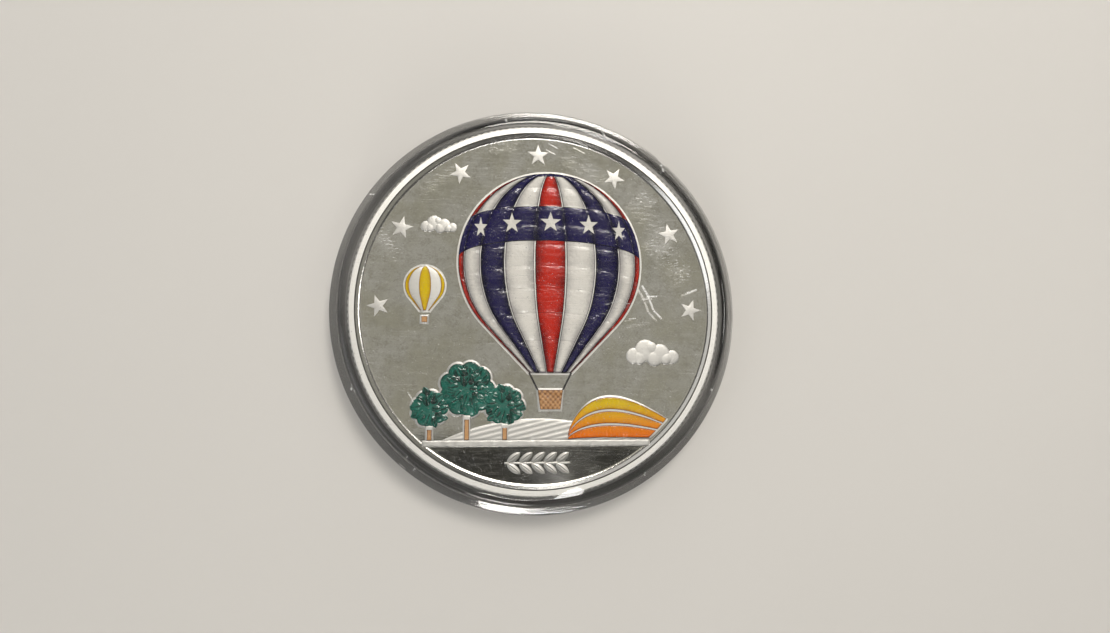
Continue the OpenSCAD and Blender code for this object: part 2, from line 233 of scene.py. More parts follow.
mirror_silver, at = finish("mirror_silver")
cloud = at.noise(48, 3.0).rise(0.42, 0.72)
mottle = at.noise(2600, 4.0, 0.7)
swirl = at.node("TexNoise", {}, {
    "Vector": at.stretched((260, 2100, 1), 0.6), "Scale": 1.0, "Detail": 3.0, "Distortion": 0.6})
speck = at.noise(3300, 1.0).rise(0.7, 0.78)
tint = at.noise(120, 3.0).rise(0.36, 0.64).blend((0.82, 0.81, 0.73), (0.94, 0.94, 0.935))
mirror = at.node("BsdfPrincipled", {}, {
    "Base Color": (0.6 * mottle + 0.4 * at.noise(420, 3.0)).rise(0.34, 0.56).blend((0.7, 0.685, 0.635), tint),
    "Metallic": 1.0, "Roughness": 0.03 + 0.05 * cloud,
    "Normal": at.bump(swirl, 0.000002)})
dull = at.node("BsdfPrincipled", {}, {"Base Color": (*FROST, 1), "Metallic": 1.0, "Roughness": 0.42})
handled = 0.005 + 0.04 * cloud + 0.05 * swirl.rise(0.5, 0.72) + 0.1 * mottle.rise(0.5, 0.75) + 0.4 * speck
surface = at.node("MixShader", {}, {0: handled, 1: mirror, 2: dull})
at.node("OutputMaterial", {}, {"Surface": surface})

satin_silver, at = finish("satin_silver")
nicks = at.noise(1900, 3.0).rise(0.64, 0.74)
grain = 0.6 * around(at, 260.0, 300.0).noise(1.0, 3.0) + 0.4 * at.noise(7000, 3.0)
surface = at.node("BsdfPrincipled", {}, {
    "Base Color": nicks.blend((0.84, 0.83, 0.8), (0.66, 0.645, 0.61)), "Metallic": 1.0,
    "Roughness": 0.44 + 0.1 * grain - 0.08 * nicks, "Normal": at.bump(grain - 0.5 * nicks, 0.00002)})
at.node("OutputMaterial", {}, {"Surface": surface})

polished_silver, at = finish("polished_silver")
grain = at.noise(2600, 3.0)
surface = at.node("BsdfPrincipled", {}, {
    "Base Color": grain.rise(0.6, 0.75).blend(SILVER, (0.8, 0.785, 0.75)), "Metallic": 1.0,
    "Roughness": 0.1 + 0.1 * grain, "Normal": at.bump(grain, 0.00002)})
at.node("OutputMaterial", {}, {"Surface": surface})

# Painted shade: a dark finish laid on the groove between the rim and its slope, where the groove shows as a thin dark
# line.
painted_groove_shade, at = finish("painted_groove_shade")
surface = at.node("BsdfPrincipled", {}, {
    "Base Color": at.noise(900, 3.0).blend((0.05, 0.045, 0.038), (0.2, 0.19, 0.17)), "Roughness": 0.5})
at.node("OutputMaterial", {}, {"Surface": surface})

groove_in, groove_mid, groove_out, groove_low = rim_in - 0.32, rim_in - 0.18, rim_in - 0.04, 0.42
shoulder_low, field_round, edge_round = 0.16, 0.45, 0.18
blank = turned(
    [(0, back_z), (field_r, back_z), (groove_in, medal_low + shoulder_low), (groove_mid, medal_low + groove_low),
     (groove_out, medal_low), (edge_r, medal_low), (edge_r, medal_top), (groove_out, medal_top),
     (groove_mid, medal_top - groove_low), (groove_in, medal_top - shoulder_low), (field_r, field_z), (0, field_z)],
    [(field_r, back_z, field_round), (edge_r, medal_low, edge_round), (edge_r, medal_top, edge_round),
     (field_r, field_z, field_round)])
# The groove's faces take the dark finish, which is painted shade.
for face in blank.faces:
    reach = max(v.co.xy.length for v in face.verts) / MM
    face.material_index = sum(reach > limit for limit in (field_r - 0.3, groove_in + 0.01, groove_out + 0.01))
piece(blank, "medal_blank", "medal", "silver", [mirror_silver, polished_silver, painted_groove_shade, satin_silver], "medal")

reed_inset, reed_root, lip_h, lip_in = 0.45, 0.04, 0.12, 0.25
reeds = bmesh.new()
ring = bmesh.ops.create_circle(reeds, segments=8 * reed_count, radius=edge_r * MM, cap_ends=False)["verts"]
for v in ring:
    place = math.atan2(v.co.y, v.co.x) * reed_count / math.tau % 1
    crest = min(1.0, max(0.0, 1.9 - 4 * abs(place - 0.5)))
    v.co.xy = v.co.xy.normalized() * (edge_r - reed_root + (reed_r - edge_r + reed_root) * crest) * MM
for v in ring:
    v.co.z = (medal_low + reed_inset) * MM
wall = bmesh.ops.extrude_edge_only(reeds, edges=reeds.edges[:])["geom"]
bmesh.ops.translate(reeds, vec=(0, 0, (medal_top - medal_low - 2 * reed_inset) * MM),
                    verts=[g for g in wall if isinstance(g, bmesh.types.BMVert)])
for inset in (0, 1):
    rims = [e for e in reeds.edges if e.is_boundary]
    lips = [g for g in bmesh.ops.extrude_edge_only(reeds, edges=rims)["geom"] if isinstance(g, bmesh.types.BMVert)]
    for v in lips:
        v.co.xy = v.co.xy.normalized() * (edge_r - 0.05 - lip_in * inset) * MM
        v.co.z += math.copysign(lip_h * (1 - inset), v.co.z - (medal_low + medal_top) / 2 * MM) * MM
bmesh.ops.recalc_face_normals(reeds, faces=reeds.faces)
piece(reeds, "medal_reeds", "medal", "silver", [satin_silver])

# Medal relief, front
# The struck picture stands up from the field with a frosted skin: stars round the top, clouds, a far hill,
# the ground line, a laurel sprig under it, and the beds that carry the enamels.
picture_r = field_r
star_r, star_gap, crown_gap, star_count = 2.7, 1.6, 1.6, 7
star_ring = picture_r - star_gap - star_r
balloon_x, balloon_r, mouth_w, rope_len, basket_w, basket_h = 3.0, 22.0, 10.0, 4.0, 6.0, 4.6
taper = math.radians(44)
balloon_y = math.sqrt((star_ring - star_r - crown_gap) ** 2 - balloon_x ** 2) - balloon_r
balloon_drop = balloon_r * math.sin(taper) + (balloon_r * math.cos(taper) - mouth_w / 2) / math.tan(taper)
mouth_y = balloon_y - balloon_drop
basket_y = mouth_y - rope_len
far_x, far_y, far_r = -0.64 * picture_r, 0.12 * picture_r, 4.6
far_mouth, far_drop = 0.45 * far_r, 1.3 * far_r
land_r, margin = picture_r - 0.6, 0.45
exergue_h, ground_t = 9, 1.6
ground_y = -(picture_r - exergue_h)
ground_top = ground_y + ground_t
crop_x, crop_w, crop_h = balloon_x + basket_w / 2 + 1, 32.0, 10.0
tree_h, tree_r, trunk_w = 20.0, 6.6, 1.1
TREES = ((1.0, 0.0), (0.66, -1.3), (0.72, 1.34))
tree_x = balloon_x - mouth_w / 2 - 1 - (TREES[2][0] + TREES[2][1]) * tree_r
trees = [(tree_x + aside * tree_r, ground_y + share * (tree_h - tree_r), share * tree_r) for share, aside in TREES]
sunk, bed_low, bed_high = 0.1, 0.1, 0.36


def shading(bm):
    """The layers that say how near a point is to an outline, and how much painted shade its enamel gets there: darker
    in hollows, at seams and edges and down flanks, as light would fall.
    """
    return [bm.verts.layers.float.get(name) or bm.verts.layers.float.new(name) for name in ("outline", "painted_shade")]


def sheet(bm, columns, rows, place, foot):
    """A sheet walled down to foot and laid by place(u, v), which gives x, y, z in mm, the point's nearness to an
    outline and its painted shade.
    """
    near, deep = shading(bm)
    made = bmesh.ops.create_grid(bm, x_segments=columns, y_segments=rows, size=1)["verts"]
    for v in made:
        *spot, v[near], v[deep] = place((v.co.x + 1) / 2, (v.co.y + 1) / 2)
        v.co = Vector(spot) * MM
    faces = {f for v in made for f in v.link_faces}
    walls = bmesh.ops.extrude_edge_only(bm, edges=[e for e in {e for f in faces for e in f.edges} if e.is_boundary])
    low = [g for g in walls["geom"] if isinstance(g, bmesh.types.BMVert)]
    for v in low:
        v.co.z = foot * MM
        v[near] = 1.0
    faces |= {f for v in low for f in v.link_faces}
    lids = bmesh.ops.holes_fill(bm, edges=[e for e in {e for v in low for e in v.link_edges} if e.is_boundary], sides=0)
    bmesh.ops.recalc_face_normals(bm, faces=list(faces | set(lids["faces"])))


def crowd(u):
    """Moves an even run of points from 0 to 1 towards its ends, so that a rounded edge gets enough of them."""
    return 0.5 - 0.5 * math.cos(math.pi * u)


def rounded(edge):
    """Height of a quarter-round edge, as edge goes from 0 at its foot to 1 where it runs level."""
    return math.sqrt(max(0.0, 1 - (1 - edge) ** 2))


def shifted(x, y, dx, dy, turn):
    """The place dx along and dy across from x, y, for something turned by turn."""
    return x + dx * math.cos(turn) - dy * math.sin(turn), y + dx * math.sin(turn) + dy * math.cos(turn)


lobe = bmesh.new()
arc = [lobe.verts.new((math.sin(a), 0, math.cos(a) ** 0.8)) for a in (math.pi / 14 * i for i in range(8))]
arc[-1].co.z = 0
arc.append(lobe.verts.new((0, 0, 0)))
bmesh.ops.spin(lobe, geom=arc + [lobe.edges.new(pair) for pair in zip(arc, arc[1:])],
               axis=(0, 0, 1), angle=math.tau, steps=18, use_merge=True)
bmesh.ops.remove_doubles(lobe, verts=lobe.verts, dist=1e-5)
bmesh.ops.recalc_face_normals(lobe, faces=lobe.faces)
lobe_mesh = bpy.data.meshes.new("lobe")
lobe.to_mesh(lobe_mesh)
lobe.free()


def mound(bm, x, y, z, r, h):
    """A low round swelling of radius r that stands h above z, with its outline and painted shade growing towards its
    foot.
    """
    near, deep = shading(bm)
    bm.from_mesh(lobe_mesh)
    bm.verts.ensure_lookup_table()
    for v in bm.verts[-len(lobe_mesh.vertices):]:
        v[near] = v[deep] = 1 - v.co.z
        v.co = Vector((x + r * v.co.x, y + r * v.co.y, z + h * v.co.z)) * MM


def tree_crown(bm, x, y, r, z, middle, outer):
    """The swellings of a tree's crown: one in the middle and nine round it, each given as (radius, height)."""
    mound(bm, x, y, z, *middle)
    for i in range(9):
        a = math.tau * i / 9
        mound(bm, x + 0.64 * r * math.cos(a), y + 0.64 * r * math.sin(a), z, *outer)


def star(bm, x, y, turn, r, height, peak, lie=lambda x, y: field_z, squeeze=1.0):
    """A five-pointed star with ridges to its points, laid on lie(x, y)."""
    disc = bmesh.ops.create_circle(bm, segments=10, radius=1, cap_ends=True)["verts"]
    top = bmesh.ops.extrude_face_region(bm, geom=list({f for v in disc for f in v.link_faces}))["geom"]
    peaks = bmesh.ops.poke(bm, faces=[g for g in top if isinstance(g, bmesh.types.BMFace)])["verts"]
    lower = set(disc)
    points = disc + [g for g in top if isinstance(g, bmesh.types.BMVert)] + list(peaks)
    for v in points:
        a = math.atan2(v.co.y, v.co.x)
        step = round((a - math.pi / 2) / (math.pi / 5))
        reach = 0 if v in peaks else r * (1.0 if step % 2 == 0 else 0.4)
        a = math.pi / 2 + step * math.pi / 5
        px, py = shifted(x, y, squeeze * reach * math.cos(a), reach * math.sin(a), turn)
        up = peak if v in peaks else -sunk if v in lower else height
        v.co = Vector((px, py, lie(px, py) + up)) * MM
    bmesh.ops.recalc_face_normals(bm, faces=list({f for v in points for f in v.link_faces}))


def leaf(bm, x, y, turn, length, width, z, h, shade=0.0):
    """A pointed leaf with a sunk midrib, with painted shade along the midrib and, by shade, towards its stalk; h below
    0 strikes it downwards, for the medal's back.
    """
    def place(u, v):
        along, across = 2 * u - 1, 2 * crowd(v) - 1
        half = width / 2 * (1 - along * along) ** 0.75 + 0.02
        swell = 0.35 + 0.65 * (1 - abs(across) ** 1.6) * (1 - along ** 4)
        lift = h * swell - 0.45 * h * max(0, 1 - 7 * abs(across))
        edge = max(0.0, 4 * max(abs(across), abs(along)) - 3)
        rib = min(1.0, max(0.0, 1 - 5 * abs(across)) + shade * (1.25 - u))
        return *shifted(x, y, length / 2 * (1 + along), across * half, turn), z + lift, 0.8 * edge, rib
    sheet(bm, 8, 10, place, z - sunk * math.copysign(1, h))


def half_width(y, r=balloon_r, mouth=mouth_w, drop=balloon_drop):
    """Half a balloon's width at height y above its centre: a circle down to the taper, then straight to the mouth."""
    low = -r * math.sin(taper)
    if y >= low:
        return math.sqrt(max(0.0, r * r - y * y))
    return mouth / 2 + (y + drop) / (low + drop) * (r * math.cos(taper) - mouth / 2)


def bulge(x, y, r=balloon_r, mouth=mouth_w, drop=balloon_drop):
    """Height of a balloon's silver bed above the field, at a place about its centre."""
    across = min(1.0, abs(x) / max(half_width(y, r, mouth, drop), 1e-6))
    over = (1 - min(1.0, max(0.0, y / r)) ** 4) ** 0.5 if y > 0 else 1 - 0.5 * (y / drop) ** 2
    return bed_low + (bed_high - bed_low) * math.sqrt(1 - across * across) * max(0.0, over)


def balloon_row(v, r, mouth, drop, top=math.pi / 2):
    """Height of the v-th share of the way from a balloon's crown to its mouth."""
    bend = 0.72
    if v < bend:
        return r * math.sin(top + (-taper - top) * v / bend)
    return -r * math.sin(taper) + (r * math.sin(taper) - drop) * (v - bend) / (1 - bend)


def balloon_bed(bm, x, y, r, mouth, drop):
    """The domed silver bed of a balloon, a margin wider than its enamel."""
    out = r + margin, mouth + 1.4 * margin, drop + margin

    def place(u, v):
        row = balloon_row(v, *out)
        dx = half_width(row, *out) * math.sin(math.pi * (u - 0.5))
        level = max(-drop, min(0.999 * r, row))
        inside = min(abs(dx), half_width(level, r, mouth, drop))
        return x + dx, y + row, field_z + bulge(inside, level, r, mouth, drop), 0, 0
    sheet(bm, 48, 60, place, field_z - sunk)


relief = bmesh.new()
for i in range(star_count):
    a = math.pi * i / (star_count - 1)
    star(relief, star_ring * math.cos(a), star_ring * math.sin(a), a - math.pi / 2, star_r, 0.24, 0.37)
for cx, cy, size in ((0.68, -0.27, 10.0), (-0.56, 0.46, 6.6)):
    for dx, dy, r, h in ((-0.5, 0, 0.2, 0.2), (-0.22, 0.13, 0.27, 0.24), (0.14, 0.06, 0.24, 0.28),
                         (0.44, -0.02, 0.17, 0.2), (0.0, -0.05, 0.2, 0.3), (-0.36, -0.04, 0.17, 0.26),
                         (0.28, -0.06, 0.15, 0.32), (-0.08, 0.2, 0.15, 0.3)):
        mound(relief, cx * picture_r + dx * size, cy * picture_r + dy * size, field_z, r * size, 0.8 * h)
balloon_bed(relief, balloon_x, balloon_y, balloon_r, mouth_w, balloon_drop)
balloon_bed(relief, far_x, far_y, far_r, far_mouth, far_drop)
for x, y, r in trees:
    tree_crown(relief, x, y, r, field_z, (0.86 * r + margin, 0.34), (0.36 * r + margin, 0.26))


def strip(bm, low, high, left, right, z, soft, foot=field_z - sunk, ripple=lambda x, y: 0.0, columns=60, rows=12):
    """A raised strip between the heights low(x) and high(x), from left to right, with its edges rounded by soft and
    darkened by outline and painted shade.
    """
    def place(u, v):
        x = left + (right - left) * u
        v = crowd(v)
        y0, y1 = low(x), high(x)
        y = y0 + (y1 - y0) * v
        edge = min(1.0, min(y - y0, y1 - y, x - left, right - x) / soft)
        top = foot + (z - foot) * (0.45 + 0.55 * rounded(edge)) + edge * ripple(x, y)
        return x, y, top, 1 - edge, 1 - edge
    sheet(bm, columns, rows, place, foot)


ground_half = math.sqrt(land_r ** 2 - ground_top ** 2)
strip(relief, lambda x: ground_y, lambda x: ground_top, -ground_half, ground_half, field_z + 0.38, 0.35,
      ripple=lambda x, y: 0.05 * math.sin(1.7 * x + 1.2 * math.sin(0.6 * x)) + 0.02 * math.sin(6.0 * x - 4.0 * y),
      columns=240)
far_hill_r, far_hill_h = 52.0, 5
far_hill_half = min(math.sqrt(far_hill_r ** 2 - (far_hill_r - far_hill_h) ** 2), 24.0)
strip(relief, lambda x: ground_top - 0.2,
      lambda x: ground_top + far_hill_h - far_hill_r + math.sqrt(far_hill_r ** 2 - x * x) + 0.02,
      -far_hill_half, far_hill_half, field_z + 0.22, 0.8,
      ripple=lambda x, y: 0.035 * math.sin(5.2 * (y - 0.25 * x)), columns=150, rows=40)
for x, y, r in trees:
    strip(relief, lambda x: ground_top - 0.2, lambda x: y - r + 0.6, x - trunk_w / 2 - margin, x + trunk_w / 2 + margin,
          field_z + 0.3, 0.3, columns=8)


def basket_bed(u, v):
    across, along = 2 * crowd(u) - 1, 2 * crowd(v) - 1
    half = basket_w / 2 * (0.9 + 0.1 * along) + margin
    tall, soft = basket_h / 2 + margin, 0.35
    edge = 1 - max(abs(across) * half - half + soft, (abs(along) - 1) * tall + soft, 0.0) / soft
    return (balloon_x + across * half, basket_y - basket_h / 2 + along * tall,
            field_z + 0.12 + 0.22 * rounded(edge), 0, 0)


sheet(relief, 20, 20, basket_bed, field_z - sunk)
far_basket = 1.4
far_basket_y = far_y - far_drop - 3 * margin - far_basket
strip(relief, lambda x: far_basket_y - margin, lambda x: far_basket_y + far_basket + margin,
      far_x - far_basket / 2 - margin, far_x + far_basket / 2 + margin, field_z + 0.3, 0.3, columns=10)


def crop_arch(s):
    """Height of the golden field at a share s of its width; its crest lies left of the middle."""
    return crop_h * math.sin(math.pi * s ** 0.62)


def crop_line(s, k):
    """Point on the golden field at a share s of its width and k of its height there."""
    return crop_x + crop_w * s, ground_top + k * crop_arch(s)


def crop_reach(k, r):
    """Share of the golden field's width at which it runs out at the circle of radius r."""
    low, high = 0.2, 0.96
    for _ in range(30):
        mid = (low + high) / 2
        low, high = (mid, high) if math.hypot(*crop_line(mid, k)) < r else (low, mid)
    return low


def crop_bed(u, v):
    k = v * (1 + margin / crop_h)
    start = 0.002
    x, y = crop_line(start + (crop_reach(k, land_r) - start) * u ** 1.6, k)
    return x, y, field_z + bed_low + (bed_high - bed_low) * math.sqrt(max(0.0, 1 - (2 * v - 1) ** 6)), 0, 0


sheet(relief, 60, 16, crop_bed, field_z - sunk)
sprig_leaf, leaf_slim, leaf_h = 4.0, 0.42, 0.36
sprig_step, sprig_y, sprig_half = 0.72 * sprig_leaf, ground_y - 0.42 * exergue_h, 0.25
strip(relief, lambda x: sprig_y - sprig_half, lambda x: sprig_y + sprig_half, -2.7 * sprig_step, 2.7 * sprig_step,
      field_z + 0.2, 0.2)
for i in range(5):
    for side in (-1, 1):
        leaf(relief, sprig_step * (i - 2) - sprig_step / 2, sprig_y, side * math.radians(38),
             sprig_leaf, leaf_slim * sprig_leaf, field_z, leaf_h)

frosted_silver, at = finish("frosted_silver")
grain = at.noise(5200, 4.0, 0.7)
worn = at.noise(420, 3.0).rise(0.56, 0.72)
surface = at.node("BsdfPrincipled", {}, {
    "Base Color": worn.blend(FROST, (0.68, 0.67, 0.64)), "Metallic": 1.0,
    "Roughness": 0.4 + 0.16 * grain - 0.08 * worn, "Normal": at.bump(grain, 0.00002)})
at.node("OutputMaterial", {}, {"Surface": surface})
piece(relief, "medal_front_relief", "medal", "silver", [frosted_silver])

# Medal relief, back
# The other die strikes a large star inside a laurel wreath, frosted like the front.
back = bmesh.new()
star(back, 0, 0, 0, 17.0, 0.06, 0.75, lie=lambda x, y: 0.0)
for v in back.verts:
    v.co = Vector((v.co.x, v.co.y, back_z * MM - v.co.z))
bmesh.ops.recalc_face_normals(back, faces=back.faces)
wreath_r, wreath_leaves, wreath_leaf = 0.78 * picture_r, 11, 6.0
for side in (-1, 1):
    for i in range(wreath_leaves):
        a = math.radians(-90 + side * (12 + 150 * i / wreath_leaves))
        for lean in (-35, 35):
            leaf(back, wreath_r * math.cos(a), wreath_r * math.sin(a), a + math.radians(side * 90 + lean),
                 wreath_leaf, leaf_slim * wreath_leaf, back_z, -leaf_h)
piece(back, "medal_back_relief", "medal", "silver", [frosted_silver])

# Balloon enamels
# Red, white and navy enamels fill the balloon's gores, each a little domed inside its silver line,
# and a second navy coat makes the starred band and the crown. The colours are baked hard and glossy.
gore_count, seam, panel_h, second_coat = 9, math.radians(0.8), 5.2, 0.03
band_low, band_high, crown_low, globe_tilt = (math.radians(a) for a in (2, 27, 62, 12))


def seam_side(x, y):
    """How near a place on the balloon is to a seam, from 0 amid a gore to 1, and which gore it is in."""
    wide = max(half_width(y - balloon_y), 1e-6)
    gore_at = (math.asin(max(-1.0, min(1.0, (x - balloon_x) / wide))) / math.pi + 0.5) * gore_count
    return abs(2 * (gore_at % 1) - 1), math.floor(gore_at)


def panel_side(x, y):
    """How far a place about the balloon's centre is from a seam across the gores, from 0 to 0.5 of a panel.
    The seams bow because the balloon is seen from below."""
    deep = math.sqrt(max(0.0, half_width(y) ** 2 - x * x))
    level = (y * math.cos(globe_tilt) - deep * math.sin(globe_tilt)) / panel_h
    return abs(level - round(level))


def panel_line(x, y):
    """1 on a seam across the gores, and 0 a little beside it."""
    return max(0.0, 1 - panel_h * panel_side(x, y) / 0.34)


def skin(x, y, lift=0.0):
    """Top of the gores' enamel at a place on the medal: each panel billows between its seams, which pucker it."""
    side, k = seam_side(x, y)
    x, y = x - balloon_x, y - balloon_y
    lift += 0.17 * (1 - (1 - 2 * panel_side(x, y)) ** 2) - 0.04 * panel_line(x, y)
    pucker = 0.025 * side ** 1.5 * math.sin(4.6 * y + 1.9 * math.sin(0.7 * y + 2 * k))
    return field_z + bulge(min(abs(x), half_width(y)), y) + 0.02 + 0.24 * (1 - side ** 2.4) + pucker + lift


def gore(bm, k, r, mouth, drop, count, x0, y0, lie, rows=190, line=0.5, panels=lambda x, y: 0.0):
    """One gore's enamel, from the crown to the mouth between two seams, with painted shade towards its seams, down the
    balloon's flanks and towards its mouth.
    """
    first = -math.pi / 2 + math.pi * k / count + seam / 2
    last = first + math.pi / count - seam

    def place(u, v):
        row = balloon_row(v, r, mouth, drop, math.radians(80))
        wide = half_width(row, r, mouth, drop)
        x = wide * math.sin(first + (last - first) * crowd(u))
        inside = min(x - wide * math.sin(first), wide * math.sin(last) - x, (1 - v) * r, v * r)
        # painted shade: darker on the balloon's flanks and near its mouth, for roundness
        shade = 0.9 * max(0.0, abs(x) / wide - 0.5) + 0.5 * max(0.0, -row / drop - 0.4)
        return (x0 + x, y0 + row, lie(x0 + x, y0 + row), max(0.0, 1 - inside / line, 0.62 * panels(x, row)),
                min(1.0, abs(2 * crowd(u) - 1) ** 1.6 + shade))
    sheet(bm, 14, rows, place, field_z + 0.02)


def globe(lat, lon):
    """Place on the medal of a latitude and longitude of the balloon, seen from a little below."""
    rise = math.sin(lat) * math.cos(globe_tilt) + math.cos(lat) * math.cos(lon) * math.sin(globe_tilt)
    return balloon_x + balloon_r * math.cos(lat) * math.sin(lon), balloon_y + balloon_r * rise


red, white, navy = bmesh.new(), bmesh.new(), bmesh.new()
for k in range(gore_count):
    colour = white if k % 2 else red if k % 4 == 0 else navy
    gore(colour, k, balloon_r, mouth_w, balloon_drop, gore_count, balloon_x, balloon_y, skin, panels=panel_line)


# The band's last value is painted shade, darker towards the gores' seams.
def band(u, v):
    lat, lon = band_low + (band_high - band_low) * crowd(v), math.pi * (u - 0.5)
    x, y = globe(lat, lon)
    inside = (band_high - band_low) * balloon_r * min(crowd(v), 1 - crowd(v))
    return x, y, skin(x, y, second_coat), max(0.0, 1 - inside / 0.5), seam_side(x, y)[0] ** 3


# The crown's last value is painted shade, darker towards the gores' seams.
def crown(u, v):
    lon = math.pi * (u - 0.5)
    x0, y0 = globe(crown_low, lon)
    rim = crown_low + (math.pi - 2 * crown_low) * (1 - u)
    x1, y1 = balloon_x + balloon_r * math.cos(rim), balloon_y + balloon_r * math.sin(rim)
    x, y = x0 + (x1 - x0) * v, y0 + (y1 - y0) * v
    inside = math.hypot(x1 - x0, y1 - y0) * min(v, 1 - v)
    return x, y, skin(x, y, second_coat), max(0.0, 1 - inside / 0.4), seam_side(x, y)[0] ** 3


sheet(navy, 180, 32, band, field_z + 0.1)
sheet(navy, 72, 10, crown, field_z + 0.05)
for i in range(-2, 3):
    lon = i * math.radians(26)
    star(white, *globe((band_low + band_high) / 2, lon), 0, 2.6, 0.1, 0.15,
         lie=lambda x, y: skin(x, y, 0.02), squeeze=math.cos(lon))


def enamel(name, bright, deep, outline, coat=0.35):
    """A glossy enamel with painted shade: bright where its shade layer is low, deep where it is high (hollows, seams,
    edges, flanks), mottled at random, with a dark line at its outlines.
    bright and deep are the lit and shaded colours, or make one of the coordinates."""
    made, at = finish(name)
    bright, deep = (colour if isinstance(colour, tuple) else colour(at) for colour in (bright, deep))
    edge, painted_shade = (at.node("Attribute", {"attribute_name": name}, {}, 2) for name in ("outline", "painted_shade"))
    speck = at.noise(2100, 3.0, 0.6)
    peel = at.noise(1250, 2.0)
    # painted shade from the shade layer, mixed with random mottle
    shade_and_mottle = (0.9 * painted_shade + 1.1 * (at.noise(190, 2.0) - 0.5) + 0.7 * (speck - 0.5)).rise(0.0, 1.0)
    dust = 0.4 * at.noise(3100, 1.0).rise(0.7, 0.78)
    colour = edge.rise(0.35, 0.9).blend(shade_and_mottle.blend(bright, deep), outline)
    surface = at.node("BsdfPrincipled", {}, {
        "Base Color": dust.blend(colour, (0.6, 0.58, 0.55)), "Coat Weight": coat, "Coat Roughness": 0.05, "IOR": 1.3,
        "Roughness": 0.2 + 0.18 * speck.rise(0.5, 0.75), "Normal": at.bump(peel + 0.35 * speck, 0.0001)})
    at.node("OutputMaterial", {}, {"Surface": surface})
    return made


red_enamel = enamel("red_enamel", (0.52, 0.014, 0.003), (0.15, 0.003, 0.003), (0.04, 0.002, 0.004))
white_enamel = enamel("white_enamel", (0.74, 0.715, 0.665), (0.4, 0.385, 0.37), (0.11, 0.1, 0.11))
navy_enamel = enamel("navy_enamel", (0.006, 0.003, 0.062), (0.002, 0.001, 0.02), (0.002, 0.001, 0.005))
piece(red, "red_coat", "medal", "enamel_red", [red_enamel], "enamel_red")
piece(white, "white_coat", "medal", "enamel_white", [white_enamel], "enamel_white")
piece(navy, "navy_coat", "medal", "enamel_navy", [navy_enamel], "enamel_navy")

# Tree enamel
# A deep teal enamel over crowns of overlapping leaves, with painted shade along their ribs, towards their stalks and at
# the crowns' feet, and a dark line at their edges.
leaves = bmesh.new()
golden = math.pi * (3 - math.sqrt(5))
for x, y, r in trees:
    tree_crown(leaves, x, y, r, field_z + 0.1, (0.72 * r, 0.36), (0.36 * r, 0.24))
    count = round(46 * (r / tree_r) ** 2)
    for i in range(count):
        share = math.sqrt((i + 0.5) / count)
        a, out = golden * i, 0.62 * r * share
        leaf(leaves, x + out * math.cos(a), y + out * math.sin(a), a + 0.7 * math.sin(5.0 * i),
             2.3 + 0.5 * math.sin(7.0 * i), 1.7 + 0.3 * math.sin(3.0 * i),
             field_z + 0.38 - 0.24 * share ** 2, 0.24, 0.45 + 0.45 * math.sin(9.0 * i))
green_enamel = enamel(
    "green_enamel", (0.01, 0.132, 0.097), (0.0006, 0.016, 0.012), (0.0005, 0.004, 0.003), coat=0.6)
piece(leaves, "green_coat", "medal", "enamel_green", [green_enamel], "enamel_green")

# Field and far balloon enamel
# A yellow enamel that the painter blends into orange from the crest of the field down, laid in three rows.
crop_rows, row_gap, coat_foot = 3, 0.14, field_z + 0.2
gold = bmesh.new()
for i in range(crop_rows):
    k0, k1 = (i + row_gap) / crop_rows, (i + 1) / crop_rows

    def row(u, v):
        v, start = crowd(v), 0.006
        k, across = k0 + (k1 - k0) * v, 2 * v - 1
        s = start + (crop_reach(k, land_r - margin) - start) * u ** 1.6
        x, y = crop_line(s, k)
        high = (k1 - k0) * crop_arch(s)
        inside = min(high * min(v, 1 - v), crop_w * (s - start), land_r - margin - math.hypot(x, y))
        swell = (0.18 + 0.03 * math.sin(6.5 * x + 1.5 * y)) * math.sqrt(max(0.0, 1 - across ** 4))
        # The last value is painted shade, darker towards each row's edges.
        return x, y, field_z + bed_high + swell, max(0.0, 1 - inside / 0.4), across ** 2
    sheet(gold, 170, 14, row, coat_foot)
for k in (0, 2, 4):
    gore(gold, k, far_r, far_mouth, far_drop, 5, far_x, far_y,
         lambda x, y: field_z + 0.14 + bulge(x - far_x, y - far_y, far_r, far_mouth, far_drop), 60, 0.22)


def up_field(low, high):
    """Makes a colour that goes from low at the ground line to high at the field's crest."""
    def colour(at):
        return at.node("SeparateXYZ", {}, {0: at}, 1).rise(ground_top * MM, (ground_top + crop_h) * MM).blend(low, high)
    return colour


gold_enamel = enamel(
    "gold_enamel", up_field((0.8, 0.165, 0.003), (0.7, 0.5, 0.004)), up_field((0.55, 0.09, 0.005), (0.5, 0.28, 0.006)),
    (0.16, 0.045, 0.008))
piece(gold, "gold_coat", "medal", "enamel_gold", [gold_enamel], "enamel_gold")

# Basket and trunk enamel
# A tan enamel over a woven bed on the basket, and plain strips up the tree trunks.
tan = bmesh.new()


def wicker(u, v):
    half = basket_w / 2 * (0.8 + 0.2 * v)
    x, y = balloon_x + half * (2 * u - 1), basket_y - basket_h * (1 - v)
    weave = math.sin(u * 9 * math.pi) * math.sin(v * 7 * math.pi)
    rim = max(abs(2 * u - 1), abs(2 * v - 1)) ** 12
    # The last value is painted shade, darker in the dips of the weave.
    return x, y, field_z + 0.5 + 0.07 * weave - 0.1 * rim + (0.08 if v > 0.84 else 0), rim, 0.5 - 0.5 * weave


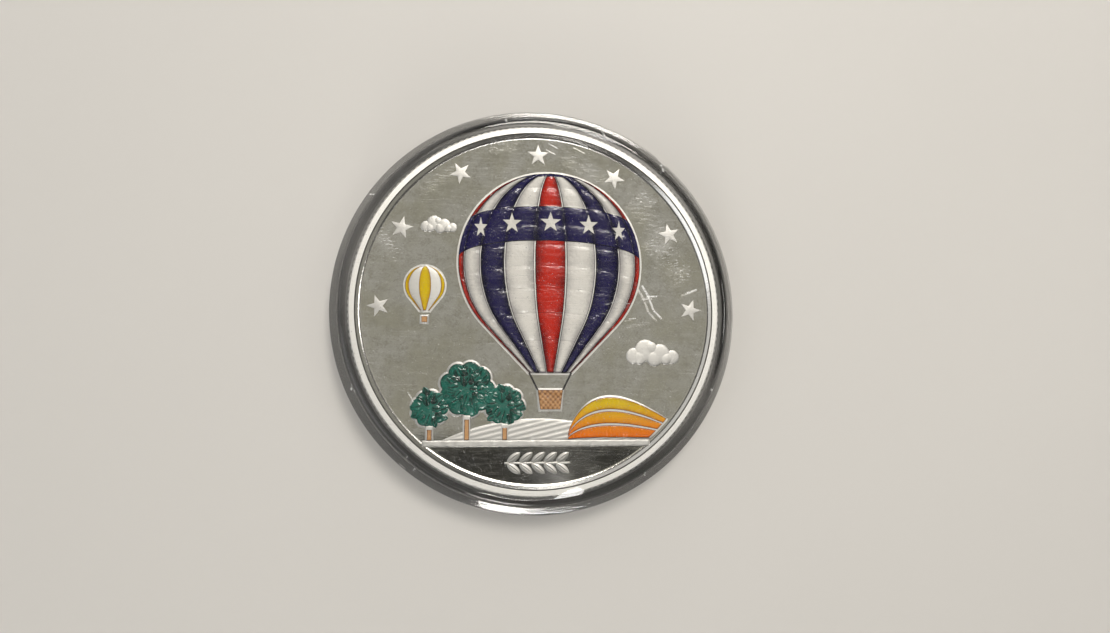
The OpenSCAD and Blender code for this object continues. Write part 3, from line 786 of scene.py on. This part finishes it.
sheet(tan, 54, 42, wicker, coat_foot)
strip(tan, lambda x: far_basket_y, lambda x: far_basket_y + far_basket, far_x - far_basket / 2, far_x + far_basket / 2,
      field_z + 0.45, 0.2, coat_foot, columns=10)
for x, y, r in trees:
    strip(tan, lambda x: ground_top, lambda x: y - r - margin, x - trunk_w / 2, x + trunk_w / 2,
          field_z + 0.45, 0.25, coat_foot, columns=10)
tan_enamel = enamel("tan_enamel", (0.55, 0.3, 0.13), (0.19, 0.075, 0.025), (0.06, 0.025, 0.01), coat=0.3)
piece(tan, "tan_coat", "medal", "enamel_tan", [tan_enamel], "enamel_tan")

# Rope enamel
# Thin black lines drawn on two raised wires between the balloon's mouth and the basket.
rope_w = 0.45
ropes = bmesh.new()
for side in (-1, 1):
    def rope_line(u, v):
        u = crowd(u)
        x = balloon_x + side * (basket_w / 2 + (mouth_w - basket_w) / 2 * v) + rope_w * (u - 0.5)
        return x, basket_y + rope_len * v, field_z + 0.3 + 0.22 * math.sqrt(max(0.0, 1 - (2 * u - 1) ** 2)), 0, 0
    sheet(ropes, 8, 24, rope_line, field_z - 0.05)
black_enamel = enamel("black_enamel", (0.03, 0.028, 0.03), (0.008, 0.008, 0.01), (0.004, 0.004, 0.004))
piece(ropes, "black_coat", "medal", "enamel_black", [black_enamel], "enamel_black")

# Lid
# The upper shell is the tray's twin in the same clear plastic, with a skirt that pushes over the spigot.
# Its window has been handled: fine hairlines, a few deeper white scratches and dull finger smears.
bore_r, shoulder_round, bore_round = 45.9, 2.0, 0.5
flange_top = part_high + flange_t
lid = turned(
    [(0, capsule_top), (wall_r - shoulder_round - 0.1, capsule_top), (wall_r, capsule_top), (wall_r, flange_top),
     (flange_r, flange_top), (flange_r, part_high), (bore_r, part_high), (bore_r, window_low), (seat_r, window_low),
     (0, window_low)],
    [(wall_r, capsule_top, shoulder_round), (wall_r, flange_top, corner_round), (flange_r, flange_top, flange_round),
     (flange_r, part_high, flange_round), (bore_r, part_high, corner_round), (bore_r, window_low, bore_round)])
gate_mark(lid, math.radians(50))


def mark(at, x0, y0, x1, y1, half, soft=0.35):
    """A line on the lid between two places in mm. It reaches half to each side, and soft is the share left full."""
    length, turn = math.hypot(x1 - x0, y1 - y0), math.atan2(y1 - y0, x1 - x0)
    middle = ((x0 + x1) / 2 * MM, (y0 + y1) / 2 * MM, 0)
    near = at.node("VectorMath", {"operation": "SUBTRACT"}, {0: at, 1: middle})
    level = at.node("VectorRotate", {"rotation_type": "Z_AXIS"}, {"Vector": near, "Angle": -turn})
    along, across = (at.node("SeparateXYZ", {}, {0: level}, i) for i in range(2))
    return abs(along).rise((length / 2 + 0.1) * MM, 0.42 * length * MM) * abs(across).rise(half * MM, soft * half * MM)


def wear(at):
    """How far the window is scuffed white: scratches, finger smears and a fine dust of pits."""
    face = at.node("SeparateXYZ", {}, {0: at}, 2).rise((capsule_top - 0.1) * MM, (capsule_top - 0.04) * MM)
    ragged = at.noise(1500, 2.0)
    deep = 0.0
    for line in ((24.9, 5.6, 26.5, 2.9, 0.4), (26.5, 2.9, 27.7, -0.4, 0.36), (27.7, -0.4, 29.7, -2.5, 0.32),
                 (26.0, 2.9, 28.7, 3.0, 0.3), (36.0, 3.9, 38.6, 4.8, 0.34), (21.6, -2.6, 23.4, -2.4, 0.16),
                 (2.2, 39.8, 4.6, 38.6, 0.16), (9.0, 40.6, 12.0, 39.2, 0.14), (-30.2, -20.0, -28.8, -22.4, 0.14)):
        deep = mark(at, *line) + deep
    smear = 0.0
    for line in ((14.6, -1.6, 22.4, 1.2, 0.9), (20.8, -4.7, 27.7, -3.0, 0.8), (15.2, 0.6, 20.4, 2.0, 0.5),
                 (6.0, 37.6, 18.0, 31.6, 2.0), (22.0, 27.0, 34.0, 16.0, 3.0), (-20.0, 34.0, -28.0, 27.0, 2.0)):
        smear = mark(at, *line, 0.0) + smear
    touch = 0.0
    for line in ((27.0, 18.0, 36.6, 7.0, 4.4), (-37.6, 18.0, -32.6, 11.0, 2.8), (24.0, 29.6, 28.6, 25.6, 1.8),
                 (-12.0, 39.0, -4.0, 40.4, 1.4)):
        touch = mark(at, *line, 0.0) + touch
    hairs = 0.0
    for turn in (0.25, 1.1, 1.9, 2.7):
        hairs = at.stretched((70, 7000, 1), turn).noise(1.0, 2.0, 0.6).rise(0.63, 0.75) + hairs
    streak = at.stretched((420, 3600, 1), 0.32).noise(1.0, 2.0).rise(0.52, 0.68)
    dabs = at.stretched((800, 2500, 1), 0.3).noise(1.0, 2.0).rise(0.57, 0.68)
    veil = at.noise(240, 2.0).rise(0.36, 0.66)
    pits = at.noise(2300, 1.0).rise(0.72, 0.78)
    return face * (deep * ragged.rise(0.2, 0.5) * 0.9 + smear * (0.03 + 0.32 * streak)
                   + touch * (0.13 * veil + 0.55 * dabs) + 0.3 * pits + 0.2 * hairs)


def knocks(at):
    """How far the lid's shoulder and flange are bruised white: small knocks, each at a turn in degrees and from an
    inner to an outer radius, a little aslant."""
    height = at.node("SeparateXYZ", {}, {0: at}, 2)
    upward = height.rise(8.4 * MM, 8.9 * MM) + abs(height - flange_top * MM).rise(0.3 * MM, 0.1 * MM)
    bruised = 0.25 * at.noise(1500).rise(0.7, 0.78)
    for turn, inner, outer, half in (
            (48, 45.6, 48.4, 0.3), (50, 46.6, 47.8, 0.2), (69, 45.2, 46.6, 0.14), (97, 46.2, 48.0, 0.16),
            (100, 45.4, 46.4, 0.2), (145, 46.9, 48.3, 0.16), (203, 46.6, 47.6, 0.24), (205, 46.4, 46.9, 0.2),
            (229, 45.6, 46.2, 0.22), (233, 47.0, 47.8, 0.26), (303, 46.2, 47.6, 0.2), (322, 46.8, 47.3, 0.26),
            (335, 45.8, 46.6, 0.3)):
        aslant = (0.4 * half * turn) % 2
        way, lean = (Vector((math.cos(a), math.sin(a))) for a in (math.radians(turn), math.radians(turn + aslant)))
        knock = mark(at, *(inner * way), *(outer * lean), 1.5 * half)
        bruised = knock * upward * at.noise(2600).rise(0.3, 0.6) + bruised
    return bruised


split_ring(lid, seat_r + 0.05)
lid_window = clear_plastic(
    "lid_window", face_share, 1.35,
    haze=lambda at: 0.008 + 0.06 * at.noise(38, 3.0).rise(0.52, 0.78),
    scuff=wear,
    grooves=lambda at: at.noise(30))
lid_ring = clear_plastic(
    "lid_ring", wall_share, 1.5,
    haze=wall_haze,
    scuff=knocks,
    grooves=flow_rings)
piece(lid, "lid_shell", "lid", "clear_plastic", [lid_window, lid_ring], "capsule_lid")

# Studio
# A plain pale table, one soft lamp from beyond the capsule, a faint fill, and small lamps and bars whose images glint
# in the ring and the rim. The camera is held almost overhead and leans to the lower left.
table = bmesh.new()
bmesh.ops.create_grid(table, x_segments=1, y_segments=1, size=3)
bmesh.ops.translate(table, vec=(0, 0, -0.04 * MM), verts=table.verts)
table_mesh = bpy.data.meshes.new("table")
table.to_mesh(table_mesh)
table.free()
table_obj = bpy.data.objects.new("table", table_mesh)
bpy.context.scene.collection.objects.link(table_obj)
table_top, at = finish("table_top")
surface = at.node("BsdfPrincipled", {}, {
    "Base Color": at.noise(6).blend((0.64, 0.625, 0.6), (0.68, 0.665, 0.64)), "Roughness": 0.6})
at.node("OutputMaterial", {}, {"Surface": surface})
table_mesh.materials.append(table_top)

world = bpy.data.worlds.new("studio")
bpy.context.scene.world = world
world.use_nodes = True
world.node_tree.nodes.clear()
sky = Wire(world.node_tree).node("TexCoord")
east, north, up = (sky.node("SeparateXYZ", {}, {0: sky}, i) for i in range(3))
side_glow = (0.45 * north - 0.85 * east).rise(0.0, 0.85)
overhead = north.rise(-0.04, -0.02).blend((0.035, 0.034, 0.03), (0.32, 0.306, 0.258))
far_wall = east.rise(0.3, 0.8).blend((0.09, 0.088, 0.085), (0.24, 0.235, 0.205))
walls = up.rise(0.58, 0.7).blend(side_glow.blend(far_wall, (0.6, 0.59, 0.57)), (0.06, 0.058, 0.055))
tone = up.rise(0.87, 0.94).blend(walls, overhead)
light = sky.node("Background", {}, {"Color": tone, "Strength": 1.0})
sky.node("OutputWorld", {}, {"Surface": light})

for name, place, size, power, spread, colour in (
        ("key", (0.161, 0.539, 0.853), (0.39, 0.39), 6.1, 180, (1.0, 0.95, 0.88)),
        ("window_light", (0.0, 0.8, 0.42), (0.28, 0.28), 0.22, 180, (1.0, 0.98, 0.95)),
        ("low_lamp", (-0.16, -1.25, 0.29), (0.5, 0.5), 0.24, 30, (1.0, 0.97, 0.93)),
        ("top_lamp", (0.052, -0.201, 1.0), (0.08, 0.08), 0.7, 180, (1.0, 0.97, 0.93)),
        ("side_lamp", (0.72, 0.1, 0.68), (0.22, 0.22), 0.85, 180, (1.0, 0.97, 0.93)),
        ("far_bar", (0.177, 0.415, 1.0), (0.2, 0.05), 0.42, 180, (1.0, 0.98, 0.95)),
        ("far_low", (0.15, 1.3, 0.2), (0.6, 0.2), 0.06, 30, (1.0, 0.98, 0.95)),
        ("near_bar", (0.127, -0.177, 1.0), (0.11, 0.03), 0.26, 180, (1.0, 0.98, 0.95)),
        ("fill", (-0.7, -0.3, 0.6), (0.7, 0.7), 1.1, 180, (0.95, 0.97, 1.0))):
    lamp = bpy.data.lights.new(name, "AREA")
    lamp.shape, lamp.energy, lamp.spread, lamp.color = "ELLIPSE", power, math.radians(spread), colour
    lamp.size, lamp.size_y = size
    lamp_obj = bpy.data.objects.new(name, lamp)
    lamp_obj.location = place
    lamp_obj.rotation_euler = (-Vector(place)).to_track_quat("-Z", "Y").to_euler()
    bpy.context.scene.collection.objects.link(lamp_obj)

camera = bpy.data.cameras.new("camera")
camera.sensor_width, camera.lens = 36, 26.42
camera.clip_start, camera.clip_end = 0.005, 20
camera_obj = bpy.data.objects.new("camera", camera)
camera_obj.location, aim = Vector((-20.6, -22.8, 200.0)) * MM, Vector((4.1, -2.0, 8.0)) * MM
back_way = (camera_obj.location - aim).normalized()
right_way = Vector((0, 1, 0)).cross(back_way).normalized()
camera_obj.rotation_euler = Matrix((right_way, back_way.cross(right_way), back_way)).transposed().to_euler()
bpy.context.scene.collection.objects.link(camera_obj)
bpy.context.scene.camera = camera_obj
bpy.context.scene.view_settings.view_transform = "Standard"
